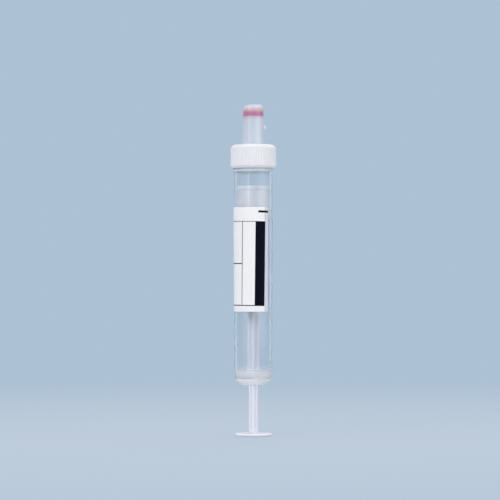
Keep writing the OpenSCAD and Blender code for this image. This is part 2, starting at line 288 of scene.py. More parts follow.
def skin(rings, ends=None):
    """Points and faces of a surface over rings, an array (ring, place, xyz) of closed rings. Each quad joins
    two neighbouring places of two neighbouring rings. With ends, two points close the first and last ring by
    fans of triangles, and without them the last ring joins the first. The faces point outwards, the way in
    which the volume comes out positive."""
    n, m = rings.shape[:2]
    i, j = np.meshgrid(np.arange(n if ends is None else n - 1), np.arange(m), indexing="ij")
    i2, j2 = (i + 1) % n, (j + 1) % m
    quads = np.stack([i * m + j, i * m + j2, i2 * m + j2, i2 * m + j], -1).reshape(-1, 4)
    points, fans = rings.reshape(-1, 3), np.zeros((0, 3), int)
    if ends is not None:
        here, after = np.arange(m), (np.arange(m) + 1) % m
        low = np.stack([np.full(m, n * m), after, here], 1)
        high = np.stack([np.full(m, n * m + 1), (n - 1) * m + here, (n - 1) * m + after], 1)
        points, fans = np.concatenate([points, np.array(ends, float)]), np.concatenate([low, high])
    corners = np.concatenate([quads[:, :3], quads[:, [0, 2, 3]], fans])
    a, b, c = (points[corners[:, k]] for k in range(3))
    if np.einsum("ij,ij->", a, np.cross(b, c)) < 0:
        quads, fans = quads[:, ::-1], fans[:, ::-1]
    return points, quads, fans


def capped(rings):
    """The surface over the rings, closed from the middle of the first and of the last one."""
    return skin(rings, [rings[0].mean(0), rings[-1].mean(0)])


def lathe(line, columns=144, relief=None):
    """A surface of revolution, (r cos a, r sin a, z) for each (r, z) of the line and each of the columns'
    angles a. relief(a, r, z) may give another r. A line whose two ends lie on the axis closes there in points,
    and any other line is closed from its last point to its first."""
    a = np.arange(columns)[None, :] * TURN / columns
    poles = max(line[0, 0], line[-1, 0]) < TOUCH
    rows = line[1:-1] if poles else line
    r, z = rows[:, :1] + 0 * a, rows[:, 1:] + 0 * a
    if relief is not None:
        r = relief(a, r, z)
    rings = np.stack([r * np.cos(a), r * np.sin(a), z], -1)
    return skin(rings, [(0, 0, line[0, 1]), (0, 0, line[-1, 1])] if poles else None)


def added(name, data):
    """A new object with that data, in the scene."""
    ob = bpy.data.objects.new(name, data)
    bpy.context.scene.collection.objects.link(ob)
    return ob


def solid(name, surface):
    """A mesh object of one closed surface."""
    points, *faces = surface
    mesh = bpy.data.meshes.new(name)
    mesh.from_pydata(points, [], [f for group in faces for f in group.tolist()])
    mesh.validate()
    return added(name, mesh)


def piece(name, body, node, material, *surfaces):
    """One smooth mesh object, the union of the closed surfaces. It rides on body, stands for the CAD node and
    takes the given material as its finish."""
    ob, *others = [solid(name, surface) for surface in surfaces]
    for other in others:
        union = ob.modifiers.new("union", "BOOLEAN")
        union.operation, union.solver, union.object = "UNION", "MANIFOLD", other
    if others:
        merged = bpy.data.meshes.new_from_object(ob.evaluated_get(bpy.context.evaluated_depsgraph_get()))
        if not merged.polygons:
            raise RuntimeError(f"{name}: the union of its surfaces is empty")
        ob.modifiers.clear()
        ob.data = merged
        for other in others:
            bpy.data.objects.remove(other)
    mesh = ob.data
    mesh.shade_smooth()
    mesh.set_sharp_from_angle(angle=SHARP)
    mesh.materials.clear()
    mesh.materials.append(material)
    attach(ob, body)
    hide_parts(node)
    return ob


def thread_relief(z_first, outwards):
    """Relief of the thread's ridges on a wall: with u the height over the nearest helix
    z = z_first + lead a / turn, the wall moves by height times a smooth-sided bank of u, and it runs out
    smoothly over the ends of each ridge."""
    t = bpy.context.scene.tube_thread
    pitch = t.lead / t.starts
    rise = t.lead * t.share
    run_out = 0.12 * rise

    def relief(a, r, z):
        u = (z - z_first - t.lead * a / TURN + pitch / 2) % pitch - pitch / 2
        flank = smooth((t.root / 2 - np.abs(u)) / ((t.root - t.crest) / 2))
        along = z - u - z_first
        ends = smooth(along / run_out) * smooth((rise - along) / run_out)
        return r + outwards * t.height * flank * ends

    return relief


# ------------------------------ materials


class Nodes:
    """The node tree of a material or of the world."""

    def __init__(self, tree):
        self.tree = tree

    def add(self, kind, inputs=(), **settings):
        """A node of that kind. inputs are values or sockets, by order or by name."""
        node = self.tree.nodes.new("ShaderNode" + kind)
        for key, value in settings.items():
            setattr(node, key, value)
        for key, value in inputs.items() if isinstance(inputs, dict) else enumerate(inputs):
            self.put(node.inputs[key], value)
        return node

    def put(self, socket, value):
        """Links a socket to the input, or sets the input's own value."""
        if isinstance(value, bpy.types.NodeSocket):
            self.tree.links.new(value, socket)
        else:
            socket.default_value = value

    def math(self, operation, *values):
        return self.add("Math", values, operation=operation).outputs[0]

    def times(self, a, b):
        return self.math("MULTIPLY", a, b)

    def background_rays(self):
        """1 for rays that the camera sees, straight or by way of gloss and glass, and 0 for all others."""
        path = self.add("LightPath").outputs
        seen = self.math("MAXIMUM", path["Is Camera Ray"], path["Is Glossy Ray"])
        seen = self.math("MAXIMUM", seen, path["Is Transmission Ray"])
        return self.times(seen, self.math("LESS_THAN", path["Diffuse Depth"], 0.5))


class Finish(Nodes):
    """A material with its Principled shader and the nodes added to it."""

    def __init__(self, name):
        self.material = bpy.data.materials.new(name)
        self.material.use_nodes = True
        super().__init__(self.material.node_tree)
        self.shader = self.tree.nodes["Principled BSDF"]
        self.surface = self.tree.nodes["Material Output"].inputs["Surface"]
        self.place = self.add("TexCoord").outputs["Object"]
        self.height = self.add("SeparateXYZ", [self.place]).outputs["Z"]

    def set(self, **inputs):
        """Sets or links inputs of the Principled shader, with _ for a space."""
        for key, value in inputs.items():
            self.put(self.shader.inputs[key.replace("_", " ")], value)

    def ramp(self, value, start, end, low=0, high=1):
        """low up to start, high from end on, and a smooth change between them."""
        node = self.add("MapRange", [value, start, end, low, high], interpolation_type="SMOOTHSTEP")
        return node.outputs["Result"]

    def noise(self, scale, detail, along=1):
        """Noise from 0 to 1 with that many cells for each metre, stretched that many times along the tube."""
        at = self.add("VectorMath", [self.place, (1, 1, 1 / along)], operation="MULTIPLY").outputs[0]
        return self.add("TexNoise", {"Vector": at, "Scale": scale, "Detail": detail}).outputs[0]

    def mix(self, share, a, b):
        """Colour a where share is 0 and b where it is 1. Inputs 6 and 7 and output 2 are the node's colours."""
        a, b = (c if isinstance(c, bpy.types.NodeSocket) else (*c, 1) for c in (a, b))
        return self.add("Mix", {0: share, 6: a, 7: b}, data_type="RGBA").outputs[2]

    def mottled(self, cloud, colour, shade):
        """The colour, darkened to shade times itself where the cloud is thin."""
        return self.mix(self.ramp(cloud, 0.3, 0.75), tuple(shade * c for c in colour), colour)

    def scatter(self, weight, radius, depth):
        """Lets light into the material, by radius times depth in each colour."""
        self.set(Subsurface_Weight=weight, Subsurface_Radius=radius, Subsurface_Scale=depth)

    def bump(self, height, strength, depth):
        """Bump of the given height pattern, whose full swing is depth in metres."""
        node = self.add("Bump", {"Strength": strength, "Distance": depth, "Height": height})
        self.set(Normal=node.outputs[0])

    def lets_lamps_through(self, tint):
        """Mixes in a Transparent shader for shadow rays, so that lamps reach what is inside."""
        ray = self.add("LightPath").outputs["Is Shadow Ray"]
        through = self.add("BsdfTransparent", {"Color": (*tint, 1)})
        both = self.add("MixShader", [ray, self.shader.outputs[0], through.outputs[0]])
        self.put(self.surface, both.outputs[0])


def clear_plastic(name, tint, haze, frost, veil, milk, low, high):
    """Clear moulded plastic: smooth and glossy, with faint draw lines. It is milky in the thick base, which
    starts at low, and from high on, in the bead and less in the neck. A faint haze rises above the base."""
    f = Finish(name)
    faint = f.ramp(f.height, low + 9 * MM, low + 4.5 * MM, 0, 0.36)
    base = f.math("MAXIMUM", faint, f.ramp(f.height, low + 3 * MM, low + 1.8 * MM))
    bead = f.ramp(f.height, high, high + 0.3 * MM)
    neck = f.times(bead, f.ramp(f.height, high + 0.9 * MM, high + 1.3 * MM, 0.7, 0.25))
    thick = f.math("MAXIMUM", base, neck)
    cloud = f.noise(260, 4)
    f.set(
        Base_Color=f.mix(base, f.mix(neck, tint, frost), haze),
        Roughness=f.math("ADD", f.ramp(cloud, 0.35, 0.7, 0.05, 0.07), f.times(thick, 0.2)),
        IOR=1.49,
        Transmission_Weight=f.ramp(thick, 0, 1, 1 - veil, 1 - milk),
    )
    f.scatter(0.5, (1, 1, 1), 1.5 * MM)
    f.bump(f.noise(900, 1, 60), 0.03, 0.02 * MM)
    f.lets_lamps_through((0.985, 0.99, 0.995))
    return f.material


def milky_plastic(name, colour, rough=0.34, depth=1.4 * MM):
    """Milky moulded plastic: light goes depth into it, gloss is uneven, and faint flow marks run along it."""
    f = Finish(name)
    cloud = f.noise(180, 2, 3)
    flow = f.noise(700, 1, 12)
    f.set(
        Base_Color=f.mottled(cloud, colour, 0.96),
        Roughness=f.ramp(flow, 0.3, 0.7, rough - 0.02, rough + 0.03),
        IOR=1.5,
    )
    f.scatter(0.8, (1.0, 1.05, 1.15), depth)
    f.bump(flow, 0.02, 0.03 * MM)
    return f.material


def white_plastic(name, colour):
    """White moulded plastic: satin, with a very fine grain and slight differences in gloss."""
    f = Finish(name)
    grain = f.noise(5200, 3)
    cloud = f.noise(240, 3)
    f.set(
        Base_Color=f.mottled(cloud, colour, 0.965),
        Roughness=f.math("ADD", f.ramp(grain, 0.3, 0.7, 0.0, 0.06), f.ramp(cloud, 0.3, 0.7, 0.36, 0.44)),
        IOR=1.5,
    )
    f.scatter(0.25, (1.0, 0.95, 0.9), 0.6 * MM)
    f.bump(grain, 0.2, 0.02 * MM)
    return f.material


def nozzle_plastic(name, colour, glow, painted_lip_glow, low, high):
    """Thin milky wall that lets light through, with vertical streaks painted into its colour: painted light,
    the streaky refraction of the wall. The rubber's pink as it shines through the wall is painted into its
    colour
    too: a clear painted band from low up to just under the lip, paler there and fading upwards to high, and a
    faint painted glow below."""
    f = Finish(name)
    # Painted light: vertical streaks, lighter and darker, painted into the wall's colour for its streaky
    # refraction.
    streak = f.noise(700, 1, 40)
    # Painted glow: these masks paint the rubber's pink, as it shines through the wall, into the wall's colour;
    # rubber is that painted colour, paler under the lip.
    above = f.ramp(f.height, high + 0.4 * MM, high - 1.7 * MM)
    rubber = f.mix(f.ramp(f.height, high - 2.4 * MM, high - 1.1 * MM), glow, painted_lip_glow)
    band = f.times(f.ramp(f.height, low, low + 0.35 * MM), above)
    below = f.times(f.ramp(f.height, low - 1.5 * MM, low + 0.2 * MM), above)
    shown = f.math("ADD", f.times(band, 0.68), f.times(below, 0.36))
    # The wall's colour with its painted streaks.
    pale = f.mix(f.ramp(streak, 0.35, 0.65), tuple(0.9 * c for c in colour), colour)
    f.set(
        # The painted glow of the rubber, laid over the wall's streaked colour.
        Base_Color=f.mix(shown, pale, rubber),
        Roughness=0.26,
        IOR=1.5,
        Transmission_Weight=0.34,
        Coat_Weight=0.5,
        Coat_Roughness=0.08,
    )
    f.scatter(0.5, (1.0, 1.0, 1.05), 1.0 * MM)
    f.lets_lamps_through((0.75, 0.77, 0.8))
    return f.material


def rubber(name, colour):
    """Soft rubber: matt, finely pitted, a little paler where it is worn."""
    f = Finish(name)
    pits = f.noise(3600, 4)
    worn = f.ramp(f.noise(500, 3), 0.3, 0.75)
    f.set(
        Base_Color=f.mix(worn, colour, tuple(min(1, 1.15 * c + 0.02) for c in colour)),
        Roughness=f.ramp(pits, 0.3, 0.7, 0.5, 0.65),
        IOR=1.52,
    )
    f.scatter(0.3, (1.0, 0.4, 0.5), 0.8 * MM)
    f.bump(pits, 0.3, 0.03 * MM)
    return f.material


def print_mask(f, marks, tilt, middle):
    """1 on the marks and 0 elsewhere. Each mark is (first angle, last angle, lowest, highest), in degrees and
    metres. The whole print is turned clockwise about the height middle by tilt, in degrees a metre and in
    metres a degree."""
    angle = f.add("Attribute", attribute_name="angle").outputs["Fac"]
    across = f.math("SUBTRACT", angle, f.times(f.math("SUBTRACT", f.height, middle), tilt[0]))
    up = f.math("ADD", f.height, f.times(angle, tilt[1]))
    soft_across, soft_up = 0.12, 0.015 * MM

    def within(value, low, high, soft):
        rise = f.add("MapRange", [value, low - soft, low + soft, 0.0, 1.0]).outputs[0]
        fall = f.add("MapRange", [value, high - soft, high + soft, 1.0, 0.0]).outputs[0]
        return f.times(rise, fall)

    mask = 0.0
    for first, last, low, high in marks:
        one = f.times(within(across, first, last, soft_across), within(up, low, high, soft_up))
        mask = f.math("MAXIMUM", mask, one)
    return mask


def printed_film(name, white, ink, layout, clear=0.0):
    """Satin film with ink marks. layout is what print_mask needs. Between the marks, the film lets the share
    clear of what is behind it show through."""
    f = Finish(name)
    mask = print_mask(f, *layout)
    grain = f.noise(2600, 3)
    cloud = f.noise(150, 3)
    f.set(
        Base_Color=f.mix(mask, f.mottled(cloud, white, 0.975), ink),
        Roughness=f.math("ADD", f.ramp(grain, 0.3, 0.7, 0.36, 0.46), f.times(mask, 0.05)),
        IOR=1.5,
        Specular_IOR_Level=0.07,
    )
    f.scatter(0.3, (1, 1, 1), 0.2 * MM)
    if clear:
        f.set(Alpha=f.math("MAXIMUM", mask, 1 - clear))
    f.bump(f.math("ADD", f.times(grain, 0.5), mask), 0.2, 0.01 * MM)
    return f.material


# ------------------------------ pieces


def wall_radius(z):
    """Radius of the barrel's drafted wall at height z, on the straight line from the foot to the shoulder."""
    b = bpy.context.scene.tube_barrel
    foot_z = LOW["barrel"].z + b.base_edge
    shoulder_z = LOW["screw_cap"].z - b.shoulder
    return b.bore + b.wall_foot + (b.wall_top - b.wall_foot) * (z - foot_z) / (shoulder_z - foot_z)


def thread_start():
    """Height at which the neck's ridges start: they end a little below the rim."""
    t = bpy.context.scene.tube_thread
    below_rim = 0.3 * MM
    return HIGH["barrel"].z - below_rim - t.root / 2 - t.lead * t.share


def snap_height():
    """Height of the groove in the piston's socket and of the ring on the rod that snaps into it."""
    return LOW["piston"].z + 4.5 * MM


class TUBE_OT_barrel(bpy.types.Operator):
    """Clear barrel with its guide hole, catch seat, stop bead and threaded neck"""

    bl_idname = "tube.barrel"
    bl_label = "Barrel"

    def execute(self, context):
        b = context.scene.tube_barrel
        base, rim = LOW["barrel"].z, HIGH["barrel"].z
        floor = base + b.base
        foot_r, neck_r = b.bore + b.wall_foot, b.bore + b.neck_wall
        shoulder = LOW["screw_cap"].z - b.shoulder
        neck_foot = shoulder + wall_radius(shoulder) - neck_r
        bead = shoulder - 0.4 * MM - b.bead_height / 2
        bead_r = wall_radius(bead) + b.bead
        flat, slope = 0.35 * b.bead_height, 0.6 * b.bead_height
        centre = (foot_r - b.base_edge, base + b.base_edge)
        base_edge = arc(centre, b.base_edge, -math.pi / 2, 0, 28)
        outside = rounded(
            [
                (foot_r, centre[1], 0),
                (wall_radius(bead - slope), bead - slope, 0.15),
                (bead_r, bead - flat, 0.2),
                (bead_r, bead + flat, 0.2),
                (wall_radius(bead + slope), bead + slope, 0.15),
                (wall_radius(shoulder), shoulder, 0.15),
                (neck_r, neck_foot, 0.2),
                (neck_r, rim, 0.28),
                (b.bore + b.mouth, rim, 0.12),
                (b.bore, rim - b.mouth, 0.2),
                (b.bore, floor + b.floor_edge, 0),
            ]
        )
        fillet = arc((b.bore - b.floor_edge, floor + b.floor_edge), b.floor_edge, 0, -math.pi / 2, 12)
        inside = rounded(
            [
                (b.bore - b.floor_edge, floor, 0),
                (b.seat, floor, 0.12),
                (b.seat, floor - b.seat_depth, 0.12),
                (b.guide, floor - b.seat_depth, 0.12),
                (b.guide, base, 0.12),
                (centre[0] - 0.1 * MM, base, 0),
            ]
        )
        line = np.concatenate([base_edge, outside[1:-1], fillet, inside[1:]])
        ridges = thread_relief(thread_start(), 1)

        def relief(a, r, z):
            """The ridges of the thread, on the neck only."""
            return np.where((r > neck_r - TOUCH) & (z > neck_foot), ridges(a, r, z), r)

        r, z = middles(line).T
        step = np.where((r > neck_r - TOUCH) & (z > shoulder), 0.1, 1.5) * MM
        finish = clear_plastic(
            "clear_plastic", b.clear, b.haze, b.frost, b.veil, b.milk, base, bead - b.bead_height
        )
        piece("barrel_shell", "tube", "barrel", finish, lathe(finer(line, step), 288, relief))
        return {"FINISHED"}


class TUBE_OT_label(bpy.types.Operator):
    """White film wrapped round the barrel, with its band, rules and clear free edge"""

    bl_idname = "tube.label"
    bl_label = "Label"

    def execute(self, context):
        s = context.scene.tube_label
        z = np.linspace(LOW["label"].z, HIGH["label"].z, 60)
        inner, outer = wall_radius(z) + s.gap, wall_radius(z) + s.gap + s.film
        ring = np.concatenate([np.stack([inner, z], 1), np.stack([outer, z], 1)[::-1]])
        edge, margin = math.degrees(s.edge), math.degrees(s.edge - s.margin)
        last = math.degrees(s.edge - s.wrap)
        top, middle, bottom = 0.0821, 0.0659, 0.0498
        rules = (last + 4, 6)  # from near the far edge into the band
        marks = [
            (5.2, margin + 1, bottom, top),  # dark band
            (12.8, edge + 2, 0.0854, 0.0862),  # short bar over the band
            (*rules, top - 0.22 * MM, top),  # upper rule
            (*rules, bottom, bottom + 0.34 * MM),  # lower rule
            (-35.2, -33.2, bottom, top),  # upright rule
            (rules[0], -34, middle - 0.19 * MM, middle + 0.19 * MM),  # middle rule, left of the upright one
        ]
        radius = wall_radius(middle)
        tilt = (math.degrees(s.tilt) / radius, math.radians(s.tilt) * radius)
        layout = (marks, tilt, middle)
        self.film("label_film", last, margin, ring, printed_film("label_print", s.white, s.ink, layout))
        clear_edge = printed_film("label_clear_edge", s.white, s.ink, layout, clear=0.5)
        self.film("label_margin", margin, edge, ring, clear_edge)
        return {"FINISHED"}

    def film(self, name, first, last, ring, material):
        """The ring of (r, z) carried round from the first to the last angle, measured from the front towards
        +X. The point at angle a is (r sin a, -r cos a, z)."""
        a = np.radians(np.linspace(first, last, max(2, int(last - first) + 1)))[:, None]
        r, z = ring[None, :, 0], ring[None, :, 1] + 0 * a
        rings = np.stack([r * np.sin(a), -r * np.cos(a), z], -1)
        ob = piece(name, "tube", "label", material, capped(rings))
        angle = np.concatenate([np.degrees(a + 0 * r).ravel(), [first, last]])
        ob.data.attributes.new("angle", "FLOAT", "POINT").data.foreach_set("value", angle.astype(np.float32))


class TUBE_OT_cap(bpy.types.Operator):
    """White screw cap with grip ribs, inner thread and sealing plug"""

    bl_idname = "tube.cap"
    bl_label = "Screw cap"

    def execute(self, context):
        c, n, b, t = (getattr(context.scene, "tube_" + k) for k in ("cap", "nozzle", "barrel", "thread"))
        low, outer = LOW["screw_cap"].z, HIGH["screw_cap"].x
        top, rim = low + c.height, low + c.height - c.top
        bore = b.bore + b.neck_wall + t.height + t.gap
        hole = n.root - 0.25 * MM
        round_mid = 0.37 * c.edge
        plug = rim - c.plug_length
        plug_in, plug_out = c.plug_radius - c.plug_wall, c.plug_radius - 0.2 * MM
        line = rounded(
            [
                (bore, low, 0),
                (outer - c.chamfer, low, 0.2),
                (outer, low + c.chamfer, 0.3),
                (outer, top - c.edge, 1),
                (outer - round_mid, top - round_mid, 0.45),
                (outer - c.edge, top, 1),
                (n.root + 0.35 * MM, top, 0.3),
                (n.root, top + 0.3 * MM, 0.15),
                (hole, top + 0.3 * MM, 0.1),
                (hole, rim, 0.1),
                (plug_in, rim, 0.2),
                (plug_in, plug + 0.6 * MM, 0.3),
                (plug_in + 0.3 * MM, plug, 0.2),
                (c.plug_radius - 0.4 * MM, plug, 0.3),
                (c.plug_radius, plug + 1.4 * MM, 0.4),
                (c.plug_radius, plug + 2.6 * MM, 0.3),
                (plug_out, plug + 3.2 * MM, 0.3),
                (plug_out, rim, 0.1),
                (bore, rim, 0.1),
                (bore, low, 0),
            ]
        )
        ridges = thread_relief(thread_start() - (t.root + t.crest) / 2 - t.flank, -1)
        flute_share = 0.8
        flute_r = math.pi * outer / c.ribs * flute_share

        def relief(a, r, z):
            """The ridges of the thread on the bore. On the skirt, flutes that are arcs of circles of radius
            flute_r, c.flute deep, and that fade below the top edge and at the chamfer."""
            away = ((a * c.ribs / TURN + 0.5) % 1 - 0.5) * TURN * outer / c.ribs
            depth = np.sqrt(np.clip(flute_r**2 - away**2, 0, None)) - (flute_r - c.flute)
            below_edge = smooth((top - c.edge - z) / (0.25 * MM))
            on_skirt = smooth((r - outer + c.chamfer + 0.1 * MM) / (0.3 * MM))
            fluted = r - np.clip(depth, 0, None) * below_edge * on_skirt
            return np.where(np.abs(r - bore) < TOUCH, ridges(a, r, z), fluted)

        step = np.where(np.abs(middles(line)[:, 0] - bore) < TOUCH, 0.12, 0.5) * MM
        finish = white_plastic("white_plastic", c.white)
        shell = lathe(finer(line, step), 9 * c.ribs, relief)  # nine columns to each rib
        piece("cap_shell", "cap", "screw_cap", finish, shell)
        return {"FINISHED"}


class TUBE_OT_nozzle(bpy.types.Operator):
    """Translucent nozzle with its rounded lip, locking lug and rubber membrane"""

    bl_idname = "tube.nozzle"
    bl_label = "Nozzle and membrane"

    def execute(self, context):
        c, n = context.scene.tube_cap, context.scene.tube_nozzle
        low, high = LOW["screw_cap"].z + c.height, HIGH["screw_cap"].z
        lip, seat_top, ledge = high - n.lip, high - n.lip_wall, LOW["membrane"].z
        lug = low + n.lug_height
        straight = lug + n.lug_radius + 0.3 * MM
        sleeve = n.root - 0.1 * MM
        lip_r = (n.lip_in**2 + n.lip**2) / (2 * n.lip_in)
        outside = arc((n.tip - lip_r, lip), lip_r, 0, math.asin(n.lip / lip_r), 16)
        inside = rounded(
            [
                (n.tip - n.lip_in, high, 0),
                (n.mouth, high, 0.25),
                (n.mouth, seat_top, 0.1),
                (n.seat - 0.4 * MM, seat_top, 0.1),
                (n.seat, seat_top - 0.4 * MM, 0.1),
                (n.seat, ledge, 0.1),
                (n.bore, ledge, 0.1),
                (n.bore, low - c.top, 0.1),
                (sleeve, low - c.top, 0.1),
                (sleeve, low - 0.3 * MM, 0.1),
                (n.root, low + 0.25 * MM, 0.2),
                (n.tip, straight, 0),
            ]
        )
        tube = lathe(finer(np.concatenate([outside[:-1], inside]), 0.6 * MM))

        # The lug is turned like a knob and laid over: (x, y, z) goes to (root - sunk + z, y, lug - x).
        sunk = 0.5 * MM
        length = sunk + n.lug_out
        knob = rounded([(0, 0, 0), (n.lug_radius, 0, 0.3), (n.lug_radius, length, 0.3), (0, length, 0)], 8)
        points, *faces = lathe(knob, 48)
        x, y, z = points.T
        lug_knob = (np.stack([n.root - sunk + z, y, lug - x], 1), *faces)
        # The wall's colour carries the rubber's painted glow between ledge and seat_top.
        finish = nozzle_plastic("nozzle_plastic", n.milky, n.glow, n.painted_lip_glow, ledge, seat_top)
        piece("nozzle_tube", "cap", "screw_cap", finish, tube, lug_knob)

        top, edge_r = HIGH["membrane"].z, HIGH["membrane"].x
        hollow, dish = 0.8 * MM, 0.45 * MM
        disc = rounded(
            [
                (0, ledge + hollow, 0),
                (n.mouth - hollow, ledge + hollow, 0.4),
                (n.mouth, ledge, 0.2),
                (edge_r, ledge, 0.15),
                (edge_r, top - 0.4 * MM, 0.2),
                (edge_r - 0.4 * MM, top, 0.2),
                (n.mouth, top, 0.2),
                (n.mouth - dish, top - dish, 0.3),
                (0, top - dish, 0),
            ]
        )
        finish = rubber("pink_rubber", n.rubber)
        piece("membrane_disc", "membrane", "membrane", finish, lathe(finer(disc, 0.3 * MM), 96))
        return {"FINISHED"}


class TUBE_OT_piston(bpy.types.Operator):
    """Milky piston: a cup with two sealing lips, webs and the socket whose end is the catch"""

    bl_idname = "tube.piston"
    bl_label = "Piston"

    def execute(self, context):
        p = context.scene.tube_piston
        low, front = LOW["piston"].z, HIGH["piston"].z
        skirt, roof = low + p.catch_length, front - p.front
        waist, seal = p.radius - p.waist, skirt + p.foot
        snap, groove = snap_height(), p.socket + 0.3 * MM
        line = rounded(
            [
                (0, front - p.dish, 0),
                (p.radius - p.rim - p.dish, front - p.dish, 0.5),
                (p.radius - p.rim, front, 0.3),
                (p.radius - 0.2 * MM, front, 0.1),
                (p.radius, front - 0.2 * MM, 0.1),
                (p.radius, front - p.lip, 0.2),
                (waist, front - p.lip - p.waist, 0.2),
                (waist, seal + p.lip + p.waist, 0.2),
                (p.radius, seal + p.lip, 0.2),
                (p.radius, seal, 0.5),
                (p.radius - p.foot, skirt, 0.1),
                (waist - p.skirt, skirt, 0.1),
                (waist - p.skirt, roof, 0.4),
                (p.catch, roof, 0.4),
                (p.catch, low + 0.3 * MM, 0.2),
                (p.catch - 0.3 * MM, low, 0.2),
                (p.socket, low, 0.1),
                (p.socket, snap - 0.5 * MM, 0.1),
                (groove, snap - 0.2 * MM, 0.1),
                (groove, snap + 0.2 * MM, 0.1),
                (p.socket, snap + 0.5 * MM, 0.1),
                (p.socket, roof, 0.1),
                (0, roof, 0),
            ]
        )
        cup = lathe(finer(line, 0.5 * MM))
        finish = milky_plastic("piston_plastic", p.milky, depth=0.5 * MM)
        webs = self.webs(p.web / 2, p.catch - 0.1 * MM, waist - 0.5 * p.skirt, skirt + p.web_back, roof)
        piece("piston_cup", "plunger", "piston", finish, cup, *webs)
        return {"FINISHED"}

    def webs(self, half, near, far, foot, roof):
        """Four webs between the radii near and far. Each is one outline, drawn in by tuck at the foot, carried
        up from foot to roof and turned by 45 degrees and quarter turns."""
        splay = half + 0.35 * MM
        starts, stops = near + 0.35 * MM, far - 0.85 * MM
        side = rounded([(near, -splay, 0), (starts, -half, 0.3), (stops, -half, 0.3), (far, -splay, 0)], 4)
        flat = np.concatenate([side, side[::-1] * (1, -1)])
        z = np.append(foot + np.array([0, 0.1, 0.25]) * MM, roof + 0.1 * MM)[:, None]
        tuck = np.array([0.25, 0.08, 0, 0])[:, None] * MM
        x, y = flat[:, 0] + 0 * z, flat[:, 1] - np.sign(flat[:, 1]) * tuck
        turns = [math.pi / 4 + k * math.pi / 2 for k in range(4)]
        cos_sin = [(math.cos(a), math.sin(a)) for a in turns]
        return [capped(np.stack([x * c - y * s, x * s + y * c, z + 0 * x], -1)) for c, s in cos_sin]


class TUBE_OT_rod(bpy.types.Operator):
    """Piston rod: thumb disc, ribbed rod, break-off neck and the stub in the piston"""

    bl_idname = "tube.rod"
    bl_label = "Piston rod"

    def execute(self, context):
        r, b, p = context.scene.tube_rod, context.scene.tube_barrel, context.scene.tube_piston
        disc_r, top = HIGH["piston_rod"].x, HIGH["piston_rod"].z
        skirt = LOW["piston"].z + p.catch_length
        clear_of_base = 0.3 * MM
        neck_top = skirt - b.base - clear_of_base
        neck = neck_top - r.neck_length
        collar, collar_r = neck - r.collar, r.ribs / 2
        snap, ring = snap_height(), r.stub + r.snap
        recess = 0.08 * MM
        disc = rounded(
            [
                (0, recess, 0),
                (5.4 * MM, recess, 0.1),
                (5.6 * MM, 0, 0.1),
                (disc_r - 0.3 * MM, 0, 0.2),
                (disc_r, 0.3 * MM, 0.15),
                (disc_r, r.disc - 0.3 * MM, 0.3),
                (disc_r - 0.3 * MM, r.disc, 0.3),
                (r.foot / 2 + 0.4 * MM, r.disc, 0.3),
                (r.foot / 2 - 0.1 * MM, r.disc + 0.25 * MM, 0.2),
                (0, r.disc + 0.3 * MM, 0),
            ]
        )
        stub = rounded(
            [
                (0, collar, 0),
                (collar_r - 0.4 * MM, collar, 0.1),
                (collar_r, collar + 0.4 * MM, 0.2),
                (collar_r, neck - 0.4 * MM, 0.2),
                (r.neck, neck, 0.2),
                (r.neck, neck_top, 0.2),
                (r.stub, neck_top + 0.4 * MM, 0.2),
                (r.stub, snap - 0.5 * MM, 0.1),
                (ring, snap - 0.2 * MM, 0.1),
                (ring, snap + 0.2 * MM, 0.1),
                (r.stub, snap + 0.5 * MM, 0.1),
                (r.stub, top, 0.2),
                (0, top, 0),
            ]
        )
        surfaces = (
            lathe(finer(disc, 0.4 * MM)),
            self.ribs(r, LOW["barrel"].z + b.base / 2, neck - 0.2 * MM),
            lathe(finer(stub, 0.4 * MM), 96),
        )
        finish = milky_plastic("rod_plastic", r.milky, 0.3)
        piece("piston_rod_ribs", "plunger", "piston_rod", finish, *surfaces)
        return {"FINISHED"}

    def ribs(self, r, taper, top):
        """The crossed ribs, one outline carried up through the heights z. It lies between a slim and a wide
        cross as its half span does, which grows smoothly above the height taper. At the disc, points inside
        the gusset's cone are moved out to it."""
        gusset_top = r.disc + 1.1 * r.gusset
        stretches = (
            (r.disc / 2, gusset_top, 16),
            (gusset_top, taper, 12),
            (taper, taper + r.taper, 8),
            (taper + r.taper, top, 40),
        )
        z = np.unique(np.concatenate([np.linspace(*stretch) for stretch in stretches]))
        half = (r.foot + (r.ribs - r.foot) * smooth((z - taper) / r.taper)) / 2
        cone = r.foot / 2 + (r.rib - r.foot) / 2 * (z - r.disc) / r.gusset
        slim, wide = 1.5 * MM, 2.5 * MM
        small, large = (self.cross(h, r.rib / 2) for h in (slim, wide))
        flat = small + (large - small) * ((half - slim) / (wide - slim))[:, None, None]
        out = np.linalg.norm(flat, axis=2, keepdims=True)
        flat = flat * np.maximum(1, cone[:, None, None] / out)
        return capped(np.concatenate([flat, z[:, None, None] + 0 * out], -1))

    def cross(self, half, rib):
        """Outline of four ribs: a quarter with two outer edges and the inner corner rounded, turned four
        times."""
        corners = [(half, 0, 0), (half, rib, 0.3), (rib, rib, 0.25), (rib, half, 0.3), (0, half, 0)]
        steps = 5
        outer, inner, last = rounded(corners, steps)[1:-1].reshape(3, steps + 1, 2)
        share = np.linspace(0, 1, 6)[1:-1, None]
        sides = [a[-1] + share * (b[0] - a[-1]) for a, b in ((outer, inner), (inner, last))]
        quarter = np.concatenate([outer, sides[0], inner, sides[1], last])
        turns = [(1, 0), (0, 1), (-1, 0), (0, -1)]
        return np.concatenate([quarter @ np.array([[c, s], [-s, c]]) for c, s in turns])


